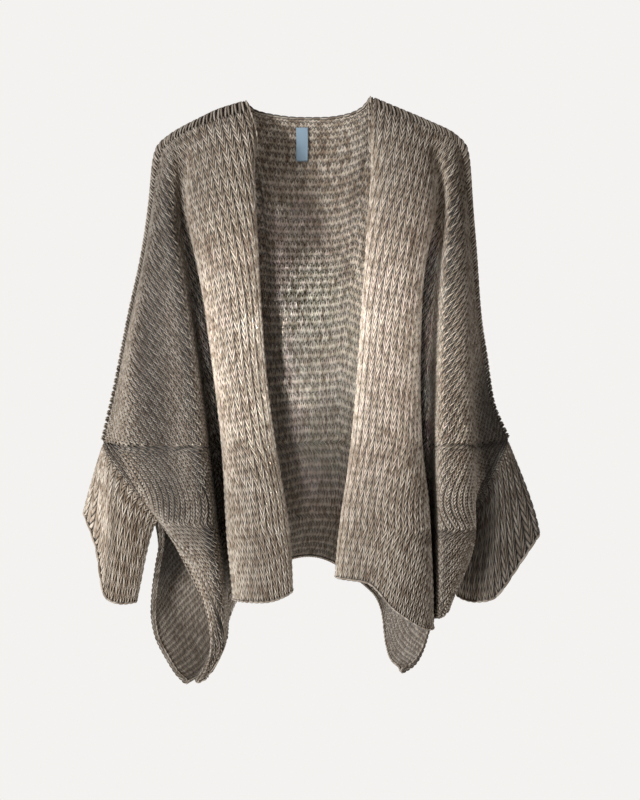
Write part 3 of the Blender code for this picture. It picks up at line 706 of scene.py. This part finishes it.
def knitShell(name, cloth, wales, rows, cuts, around=False):
    # one closed shell: the legs of the stitches outside, the bumps inside, and a rim all round
    layers = [legsOutside(*cloth, wales, rows, cuts), bumpsInside(*cloth, wales, rows)]
    verts = np.concatenate([layer[0].reshape(-1, 3) for layer in layers]) * mm
    uvs = np.concatenate([np.stack(layer[1:3], axis=-1).reshape(-1, 2) for layer in layers])
    outside, inside = (layer[3] for layer in layers)
    inside = inside + outside.size
    pairs = [(outside[:, k], inside[:, k]) for k in (0, -1)]
    if not around:
        pairs += [(sideLine(outside[k]), sideLine(inside[k])) for k in (0, -1)]
    rim = []
    for one, other in pairs:
        at = [abs(uvs[line] - uvs[line[0]]).sum(axis=1) for line in (one, other)]
        rim += zipped(one.tolist(), at[0] / at[0][-1], other.tolist(), at[1] / at[1][-1])
    quads = [quadsOf(outside), quadsOf(inside)]
    kinds = np.repeat((0, 1, 0), (len(quads[0]), len(quads[1]), len(rim)))
    faces = [tuple(dict.fromkeys(q)) for q in quads[0] + quads[1]] + rim
    keep = [i for i, f in enumerate(faces) if len(f) > 2]
    faces = [faces[i] for i in keep]
    used = np.unique(np.concatenate([np.array(f) for f in faces]))
    place = np.full(len(verts), -1)
    place[used] = np.arange(len(used))
    piece = knitPiece(name, verts[used], [tuple(place[list(f)].tolist()) for f in faces], uvs[used])
    mesh = piece.data
    mesh.polygons.foreach_set("material_index", kinds[keep].astype(np.int32))
    cleaned(piece, seam=around)
    print(name, len(mesh.vertices), "points,", sum(len(p.vertices) - 2 for p in mesh.polygons), "triangles")
    return piece


edging = {
    "shade": 0.8,  # painted shade: how much darker the yarn along the edges is made
    "yarn": 1.9,  # half the thickness of the yarn along the edges
    "start": (-0.15, 2.6),  # where a leg of a chain starts, in stitches along and in mm off the edge
    "end": (1.15, 0.4),  # and where it ends
    "bow": 1.0,  # how far it bows out in its middle
    "seamYarn": 2.1,
    "seamRows": (4, 3),  # how far over the front and the back a seam's yarn reaches, in half rows
    "seamStart": 2.6,  # how far off the seam its yarn starts
    "seamEnd": 1.8,  # how far off the cloth it ends
    "seamApart": 0.21,  # half the distance between its two legs, in half wales
    "seamSlant": 0.8,  # how far along they lean
    "seamSpread": 2.4,  # how much further apart they end
    "seamBow": 0.95,
    "sides": 6,  # of a length of yarn
    "at": (0.06, 0.25, 0.5, 0.75, 0.94),  # where its rings of points lie along it
    "thick": (0.5, 0.92, 1.0, 0.92, 0.5),  # and how thick it is there
}


def tubes(starts, ends, bow, radius):
    # fat little lengths of yarn, one for each start and end, each bowed outwards in its middle
    way = unit(ends - starts)
    side = unit(np.cross(way, bow + 1e-6))
    rise = np.cross(side, way)
    t = np.array(edging["at"])
    sides = edging["sides"]
    turn = np.arange(sides) * 2 * np.pi / sides
    middle = starts[:, None] + (ends - starts)[:, None] * t[:, None]
    middle = middle + bow[:, None] * np.sin(np.pi * t)[:, None]
    thick = radius * np.array(edging["thick"])
    ring = np.cos(turn)[:, None] * side[:, None, None] + np.sin(turn)[:, None] * rise[:, None, None]
    rings = middle[:, :, None] + thick[:, None, None] * ring
    verts = np.concatenate([rings.reshape(len(starts), -1, 3), starts[:, None], ends[:, None]], axis=1)
    tip, last = sides * len(t), sides * (len(t) - 1)
    faces = []
    for k in range(0, last, sides):
        for j in range(sides):
            after = (j + 1) % sides
            faces.append((k + j, k + after, k + sides + after, k + sides + j))
    faces += [(tip, (j + 1) % sides, j) for j in range(sides)]
    faces += [(tip + 1, last + j, last + (j + 1) % sides) for j in range(sides)]
    return verts, faces


def stitched(name, parts):
    # one piece out of many lengths of yarn, each with a colour of its own
    starts, ends, bow = (np.concatenate([part[k] for part in parts]) for k in range(3))
    radius = np.concatenate([np.full(len(part[0]), part[3]) for part in parts])
    verts = []
    for size in np.unique(radius):
        some = radius == size
        found, pattern = tubes(starts[some], ends[some], bow[some], size)
        verts.append(found)
    verts = np.concatenate(verts)
    count, each = verts.shape[:2]
    faces = [tuple(each * k + i for i in f) for k in range(count) for f in pattern]
    number, point = np.divmod(np.arange(count * each), each)
    sides = edging["sides"]
    beside = np.where(point < sides * len(edging["at"]), np.cos(point % sides * 2 * np.pi / sides), 0.9)
    # a length takes its colour from a leg in a wale of its own, seven rows on from the one before. Its sides
    # and tips lie lower on that leg, so they get painted shade, as in the hollows between stitches.
    row = (number * 7) % 61 + 0.5 - knit["lean"] / 2 + 0.4 * beside
    uvs = np.stack([number * 0.5 + 0.25, row], axis=-1)
    piece = knitPiece(name, verts.reshape(-1, 3) * mm, faces, uvs, edging["shade"])
    cleaned(piece)
    print(name, count, "lengths of yarn")
    return piece


def chain(line, normal, stitches):
    # a bound edge: along the line, a leg of yarn on its face and one inside, over and over
    number = np.arange(stitches)
    share = np.linspace(0, stitches, len(line))
    starts, ends = (read(line, share, number + edging[end][0]) for end in ("start", "end"))
    parts = []
    for face in (1, -1):
        out = unit(read(normal, share, number + 0.5)) * face
        legs = starts + out * edging["start"][1], ends + out * edging["end"][1]
        parts.append((*legs, out * edging["bow"], edging["yarn"]))
    return parts


def freeEdge(grid, normals, side, rows):
    # the chain down a panel's side, from the underarm on
    free = np.argmax(grid[:, 2] <= side[0][0])
    return chain(grid[free:], normals[free:], round(rows * (1 - free / len(grid))))


def seamStitches(seamLine, front, back):
    # the yarn that is drawn over a shoulder and sleeve seam, from one panel to the other
    parts = []
    number = np.arange(len(seamLine))
    at = np.arange(1, len(seamLine) - 3, 2) + 0.5
    outside = seamLine + seamNormals(seamLine) * edging["seamStart"]
    for (points, normals), reach in zip((front, back), edging["seamRows"]):
        inside = points[:, reach] + normals[:, reach] * edging["seamEnd"]
        out = read(normals[:, reach // 2], number, at) * reach * edging["seamBow"]
        for shift in (-edging["seamApart"], edging["seamApart"]):
            starts = read(outside, number, at + shift)
            ends = read(inside, number, at + edging["seamSlant"] + shift * edging["seamSpread"])
            parts.append((starts, ends, out, edging["seamYarn"]))
    return parts


def setInputs(node, values):
    for name, value in values.items():
        node.inputs[name].default_value = value


class Wire:
    # a shader socket that can stand in sums and products
    def __init__(self, tree, socket=None):
        self.tree = tree
        self.socket = socket

    def node(self, kind, settings, inputs, output=0):
        made = self.tree.nodes.new(kind)
        for name, value in settings.items():
            if name == "stops":
                ramp = made.color_ramp
                while len(ramp.elements) < len(value):
                    ramp.elements.new(0.5)
                for element, (at, colour) in zip(ramp.elements, value):
                    element.position = at
                    element.color = colour
            else:
                setattr(made, name, value)
        for name, value in inputs.items():
            if isinstance(value, Wire):
                self.tree.links.new(value.socket, made.inputs[name])
            else:
                made.inputs[name].default_value = value
        return Wire(self.tree, made.outputs[output])

    def maths(self, operation, *values, **settings):
        return self.node("ShaderNodeMath", {"operation": operation, **settings}, dict(enumerate(values)))

    def noise(self, place, scale, detail, roughness=0.5):
        values = {"Vector": place, "Scale": scale, "Detail": detail, "Roughness": roughness}
        return self.node("ShaderNodeTexNoise", {}, values)

    def pair(self, x, y, z=0.0):
        return self.node("ShaderNodeCombineXYZ", {}, {"X": x, "Y": y, "Z": z})

    def __add__(self, other): return self.maths("ADD", self, other)
    def __radd__(self, other): return self.maths("ADD", other, self)
    def __sub__(self, other): return self.maths("SUBTRACT", self, other)
    def __rsub__(self, other): return self.maths("SUBTRACT", other, self)
    def __mul__(self, other): return self.maths("MULTIPLY", self, other)
    def __rmul__(self, other): return self.maths("MULTIPLY", other, self)
    def __pow__(self, other): return self.maths("POWER", self, other)
    def __mod__(self, other): return self.maths("FLOORED_MODULO", self, other)


def emptyMaterial(name, roughness, sheen):
    material = bpy.data.materials.new(name)
    material.use_nodes = True
    shader = material.node_tree.nodes["Principled BSDF"]
    setInputs(shader, {
        "Roughness": roughness, "Sheen Weight": sheen, "Sheen Roughness": 0.6, "Specular IOR Level": 0.2,
    })
    return material, Wire(material.node_tree), shader


def surfaced(wire, shader, colour, relief, distance, strength):
    bump = wire.node("ShaderNodeBump", {}, {"Height": relief, "Distance": distance, "Strength": strength})
    for name, found in (("Base Color", colour), ("Normal", bump)):
        wire.tree.links.new(found.socket, shader.inputs[name])


yarn = {
    "cream": (0.80, 0.70, 0.585, 1),
    "taupe": (0.50, 0.405, 0.31, 1),
    "brown": (0.23, 0.155, 0.10, 1),
    "rust": (0.42, 0.21, 0.12, 1),
    "grey": (0.36, 0.35, 0.32, 1),
    "tones": (0.26, 0.46, 0.64),  # at which it is brown, taupe and cream
    "flecks": (0.30, 0.71),  # the noise under which it is grey and over which it is rust
    "fleckTint": 0.4,
    "hollowShade": 0.045,  # painted shade: how much of its colour the yarn keeps down between the stitches
    "holeShade": 0.28,  # and inside, in the holes
    "paintedHollowShade": (0.12, 0.78),  # the heights at which that painted shade starts and ends
    "roughness": 0.95,
    "fuzz": 0.25,
    # how much its tone changes: over the yarn's length, from leg to leg, with its twist and its fibres,
    # and over the whole cloth
    "marl": 0.8,
    "leg": 0.26,
    "twist": 0.03,
    "fibres": 0.22,
    "broad": 0.34,
    "twistRise": 0.06,  # the relief of its twist and its fibres, in leg heights
    "fibreRise": 0.35,
    "relief": 0.0018,  # the height of a leg in its bump, in metres
    "openSinkAndShade": 0.22,  # how much lower the yarn lies in its bump where the cloth is opened, which also paints it darker there: painted shade for the valley between a front's roll and its drape
    "marlAt": (1.3, 0.8),  # the marl's noise, in steps to a wale and to a row
    "broadAt": (0.30, 0.55),
    "fleckScale": 1.9,
    "unevenScale": 150.0,
    "fibreScale": 700.0,
}
purl = {
    "wave": 0.13,  # how far the ridges of the inside go up and down, in rows
    "uneven": 0.6,  # how unevenly they run
    "ridgeFall": 3.4,  # how steeply they fall off
    "strandFall": 3.2,  # how steeply the strands between them do
    "strandUneven": 0.7,
    "strandSlant": 0.5,
    "crest": 1.1,
    "strandHeight": (0.8, 0.15),  # the mean height of a strand, and by how much every other one differs
}


def purlRelief(wire, wale, row, uneven):
    # how high the yarn of the inside lies, its leg and the turns of its twist
    lower = row + wire.maths("COSINE", wale * (4 * math.pi)) * purl["wave"] + (uneven - 0.5) * purl["uneven"]
    fromRow = lower % 1.0 - 0.5
    ridge = purl["crest"] - wire.maths("ABSOLUTE", fromRow) * purl["ridgeFall"]
    half = wale * 2 + 0.5 + (uneven - 0.5) * purl["strandUneven"]
    turned = 1 - wire.maths("FLOOR", half % 2.0) * 2
    fromLeg = wire.maths("ABSOLUTE", half % 1.0 - 0.5 + turned * fromRow * purl["strandSlant"])
    mean, differs = purl["strandHeight"]
    strand = (purl["crest"] - fromLeg * purl["strandFall"]) * (turned * differs + mean)
    height = wire.maths("MAXIMUM", wire.maths("MAXIMUM", ridge, strand), 0.0)
    height = wire.maths("MULTIPLY", height, 1.0, use_clamp=True)
    leg = wire.pair(wire.maths("FLOOR", half), wire.maths("FLOOR", lower))
    return height, leg, half * 2.0 + lower


def faceRelief(wire, wale, row, uneven):
    # the same of the face, where the height follows the legs of the mesh
    spread = wire.maths("ABSOLUTE", wale % 1.0 - 0.5) * 2
    phase = row + spread * knit["lean"] + (uneven - 0.5) * 0.20
    crest = wire.maths("SINE", (phase % 1.0) * math.pi)
    taper = wire.maths("MAXIMUM", 1 - (spread * 2 - 1) ** 2.0, 0.0)
    low, high = knit["opened"]
    opened = wire.node("ShaderNodeMapRange", {}, {"Value": wale, "From Min": low, "From Max": high})
    across = (taper ** 0.5) * knit["legRound"] + (1 - spread) * knit["legTilt"]
    # the opened wales lie lower, so they also get painted shade
    height = (crest ** knit["legTaper"]) * across - opened * yarn["openSinkAndShade"]
    leg = wire.pair(wire.maths("FLOOR", wale * 2), wire.maths("FLOOR", phase))
    return height, leg, phase + spread * 2.0


def knitMaterial(name, inside):
    material, wire, shader = emptyMaterial(name, yarn["roughness"], yarn["fuzz"])
    stitches = wire.node("ShaderNodeUVMap", {"uv_map": "stitches"}, {})
    wale, row = (wire.node("ShaderNodeSeparateXYZ", {}, {"Vector": stitches}, k) for k in range(2))
    place = wire.node("ShaderNodeTexCoord", {}, {}, 3)
    uneven = wire.noise(place, yarn["unevenScale"], 2.0)
    height, leg, turns = (purlRelief if inside else faceRelief)(wire, wale, row, uneven)
    twist = wire.maths("SINE", turns * (2 * math.pi))
    own = wire.node("ShaderNodeTexWhiteNoise", {"noise_dimensions": "2D"}, {"Vector": leg})
    fibres = wire.noise(place, yarn["fibreScale"], 3.0, roughness=0.7) - 0.5
    marlPlace = wire.pair(wale * yarn["marlAt"][0], row * yarn["marlAt"][1])
    marl = wire.noise(marlPlace, 1.0, 3.0, roughness=0.6)
    broad = wire.noise(wire.pair(wale * yarn["broadAt"][0], row * yarn["broadAt"][1], 3.0), 0.5, 2.0)
    tone = (
        marl * yarn["marl"] + 0.1 + (own - 0.5) * yarn["leg"] + twist * yarn["twist"]
        + fibres * yarn["fibres"] + (broad - 0.5) * yarn["broad"]
    )
    stops = list(zip(yarn["tones"], (yarn["brown"], yarn["taupe"], yarn["cream"])))
    colour = wire.node("ShaderNodeValToRGB", {"stops": stops}, {"Fac": tone})
    flecks = wire.noise(marlPlace, yarn["fleckScale"], 1.0)
    few, many = yarn["flecks"]
    for beyond, limit, tint in (("GREATER_THAN", many, "rust"), ("LESS_THAN", few, "grey")):
        share = wire.maths(beyond, flecks, limit) * yarn["fleckTint"]
        colour = wire.node("ShaderNodeMix", {"data_type": "RGBA"}, {0: share, 6: colour, 7: yarn[tint]}, 2)
    # painted shade: the yarn is darkened where it lies low, between the legs outside and in the holes
    # inside, then by the painted patches of the shade attribute
    low, high = yarn["paintedHollowShade"]
    paintedHollowShade = wire.node("ShaderNodeMapRange", {"interpolation_type": "SMOOTHSTEP"}, {
        "Value": height, "From Min": low, "From Max": high, "To Min": yarn["holeShade" if inside else "hollowShade"]})
    paintedHollowShade = paintedHollowShade * wire.node("ShaderNodeAttribute", {"attribute_name": "shade"}, {}, 2)
    colour = wire.node("ShaderNodeVectorMath", {"operation": "SCALE"}, {0: colour, "Scale": paintedHollowShade})
    relief = height + twist * yarn["twistRise"] + fibres * yarn["fibreRise"]
    surfaced(wire, shader, colour, relief, yarn["relief"], 1.0)
    return material


def dressed(piece, node, materials):
    for material in materials:
        piece.data.materials.append(material)
    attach(piece, "root")
    if node:
        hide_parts(node)


faceKnit = knitMaterial("knit face", False)
insideKnit = knitMaterial("knit inside", True)

backGrid = backPoints(frontWales * 2, knit["neckWales"] * 2, knit["backRows"] * 2)
halves = {
    "right": [grid[: frontWales * 2 + 1][::-1] for grid in backGrid],
    "left": [grid[-frontWales * 2 - 1 :] for grid in backGrid],
}
for side, hand, table, seam, frontSide, band in (
    ("right", -1, rightFront, rightSeam, rightFrontSide, rightBand),
    ("left", 1, leftFront, leftSeam, leftFrontSide, leftBand),
):
    rows = knit["frontRows"]
    grid, normals = frontPoints(table, seam, frontSide, frontWales * 2, rows * 2)
    front = knitShell("front_%s_knit" % side, (grid, normals), frontWales, rows, knit["frontCuts"])
    dressed(front, "front_" + side, [faceKnit, insideKnit])
    trims = chain(grid[0], normals[0], rows)
    trims += chain(grid[:, -1], normals[:, -1], frontWales)
    trims += freeEdge(grid[-1], normals[-1], frontSide, rows)
    seamLine = edgeLine(seam, seam[0][0], seam[-1][0], frontWales * 2)
    trims += seamStitches(seamLine, (grid, normals), halves[side])
    rows, bandWales = knit["bandRows"], knit["bandWales"]
    points = bandPoints(seam, frontSide, band, hand, bandWales * 2, rows * 2)
    sleeve = knitShell("sleeve_%s_knit" % side, points, bandWales, rows, knit["bandCuts"], around=True)
    dressed(sleeve, "sleeve_" + side, [faceKnit, insideKnit])
    cuff = stitched("cuff_%s_edge" % side, chain(points[0][:, -1], points[1][:, -1], bandWales))
    dressed(cuff, None, [faceKnit])
    trim = stitched("front_%s_edges" % side, trims)
    dressed(trim, None, [faceKnit])

back = knitShell("back_knit", backGrid, backWales, knit["backRows"], knit["backCuts"])
dressed(back, "back", [faceKnit, insideKnit])
grid, normals = backGrid
neck = slice(frontWales * 2, -frontWales * 2)
trims = chain(grid[:, -1], normals[:, -1], backWales)
trims += chain(grid[neck, 0], normals[neck, 0], knit["neckWales"])
for column, side in ((0, rightBackSide), (-1, leftBackSide)):
    trims += freeEdge(grid[column], normals[column], side, knit["backRows"])
backEdges = stitched("back_edges", trims)
dressed(backEdges, None, [faceKnit])

ribbon = {
    "colour": (0.30, 0.42, 0.53),
    "wide": 17,
    "thick": 0.8,
    "bow": 1.5,  # how far the ribbon stands off the cloth in its middle
    "apart": 1.6,  # how far its two layers are apart, in thicknesses
    "shorter": 0.96,  # how far down the back layer reaches
    "clear": 0.6,  # how far its top stands off the cloth
    "curl": 0.25,  # how far its sides curl
    "ripple": 0.3,
    "sway": 0.4,
    "across": 13,  # points across it and down each layer
    "down": 31,
    "clothRow": 8,  # the half row of the back whose wale it hangs along
}


def ribbonPiece():
    # a length of ribbon folded in two at its foot, its top tucked under the neck's edge
    low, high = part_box("neck_label")
    middle, top, foot = (low[0] + high[0]) / 2, high[2], low[2]
    grid = backGrid[0]
    column = np.argmin(abs(grid[:, ribbon["clothRow"], 0] - middle / mm))
    cloth = (grid[column, :, 1] - knit["wall"] - knit["bumpRise"])[::-1] * mm
    clothHeights = grid[column, ::-1, 2] * mm
    across = np.linspace(-0.5, 0.5, ribbon["across"])
    down = np.linspace(0, 1, ribbon["down"])
    rows = []
    for layer in (0, 1):
        t = down[::-1] * ribbon["shorter"] if layer else down
        stand = -ribbon["thick"] * ribbon["apart"] * layer
        bow = np.sin(np.pi * t) * ribbon["bow"] * (1 - 0.3 * layer)
        for share, out in zip(t, bow):
            ripple = ribbon["ripple"] * np.sin(share * 5 + across * 3)
            curl = np.cos(across * np.pi * 2) * ribbon["curl"] + ripple
            x = middle + (across * ribbon["wide"] + ribbon["sway"] * np.sin(share * 4)) * mm
            height = top + (foot - top) * share
            y = np.interp(height, clothHeights, cloth) + (stand - out - (curl + 1) * ribbon["clear"]) * mm
            rows.append(np.stack([x, y, np.full_like(x, height)], axis=1))
    grid = np.array(rows)
    number = np.arange(grid.shape[0] * grid.shape[1]).reshape(grid.shape[:2])
    piece = pieceOf("neck_label_ribbon", grid.reshape(-1, 3), quadsOf(number))
    chosen(piece)
    wall = piece.modifiers.new("thickness", "SOLIDIFY")
    wall.thickness = ribbon["thick"] * mm
    wall.offset = 0
    bpy.ops.object.modifier_apply(modifier=wall.name)
    cleaned(piece)
    piece.data.shade_smooth()
    return piece


def satinMaterial():
    satin, wire, shader = emptyMaterial("label ribbon", 0.42, 0.25)
    place = wire.node("ShaderNodeTexCoord", {}, {}, 3)
    threads = wire.node(
        "ShaderNodeTexWave", {"bands_direction": "Z"}, {"Vector": place, "Scale": 700.0, "Distortion": 0.4}
    )
    weave = wire.noise(place, 900.0, 2.0)
    tone = wire.node(
        "ShaderNodeVectorMath", {"operation": "SCALE"},
        {0: ribbon["colour"], "Scale": threads * 0.10 + weave * 0.16 + 0.87},
    )
    surfaced(wire, shader, tone, threads + weave * 0.5, 0.0002, 0.5)
    return satin


label = ribbonPiece()
dressed(label, "neck_label", [satinMaterial()])

studio = {
    "wall": (0.905, 0.888, 0.871, 1),
    "shade": (1.0, 0.84, 0.70, 1),  # the colour of the light in the shadows
    "ambient": 0.11,
    "floor": (6, -1.3),  # its radius and its height
    # a lamp's power, size, place, and what it shines at
    "key": (86, 0.8, (-1.75, -2.75, 0.1), (0, 0, -0.4)),
    "inner": (0.27, 0.3, (-0.30, -3.0, -0.30), (0.03, 0.1, -0.34)),
    "innerSpread": 6.5,  # in degrees
    "distance": 2.2,
    "metresPerPixel": 0.0014,
    "pixelsHigh": 800,
    "sensor": 24,
    "aim": (0.0168, -0.417),
}


def stage():
    bpy.context.scene.view_settings.view_transform = "Standard"
    radius, height = studio["floor"]
    bpy.ops.mesh.primitive_circle_add(vertices=96, radius=radius, fill_type="NGON", location=(0, 0, height))
    floor = bpy.context.object
    bpy.ops.object.transform_apply(location=True, rotation=True, scale=True)
    floor.name = "floor"
    material, _, shader = emptyMaterial("floor", 0.9, 0.0)
    setInputs(shader, {
        "Base Color": (0, 0, 0, 1), "Specular IOR Level": 0,
        "Emission Color": studio["wall"], "Emission Strength": 1.0,
    })
    floor.data.materials.append(material)
    world = bpy.data.worlds.new("studio")
    bpy.context.scene.world = world
    world.use_nodes = True
    tree = world.node_tree
    tree.nodes.remove(tree.nodes["Background"])
    wire = Wire(tree)
    shade, wall = (
        wire.node("ShaderNodeBackground", {}, {"Color": studio[colour], "Strength": strength})
        for colour, strength in (("shade", studio["ambient"]), ("wall", 1.0))
    )
    seen = wire.node("ShaderNodeLightPath", {}, {})
    both = wire.node("ShaderNodeMixShader", {}, {0: seen, 1: shade, 2: wall})
    tree.links.new(both.socket, tree.nodes["World Output"].inputs["Surface"])


def placed(name, data, place, turn):
    holder = bpy.data.objects.new(name, data)
    bpy.context.scene.collection.objects.link(holder)
    holder.location = place
    holder.rotation_euler = turn
    return holder


def lamp(name, power, size, place, aim):
    light = bpy.data.lights.new(name, "AREA")
    light.energy = power
    light.shape = "DISK"
    light.size = size
    x, y, z = np.array(aim, float) - np.array(place, float)
    placed(name, light, place, (math.atan2(math.hypot(x, y), -z), 0, math.atan2(y, x) - math.pi / 2))
    return light


def camera():
    eye = bpy.data.cameras.new("camera")
    eye.sensor_fit = "VERTICAL"
    eye.sensor_height = studio["sensor"]
    eye.lens = studio["sensor"] * studio["distance"] / (studio["pixelsHigh"] * studio["metresPerPixel"])
    eye.clip_end = 50
    x, z = studio["aim"]
    bpy.context.scene.camera = placed("camera", eye, (x, -studio["distance"], z), (math.pi / 2, 0, 0))


stage()
lamp("key", *studio["key"])
lamp("inner", *studio["inner"]).spread = math.radians(studio["innerSpread"])
camera()
print("stage, lights and camera made")
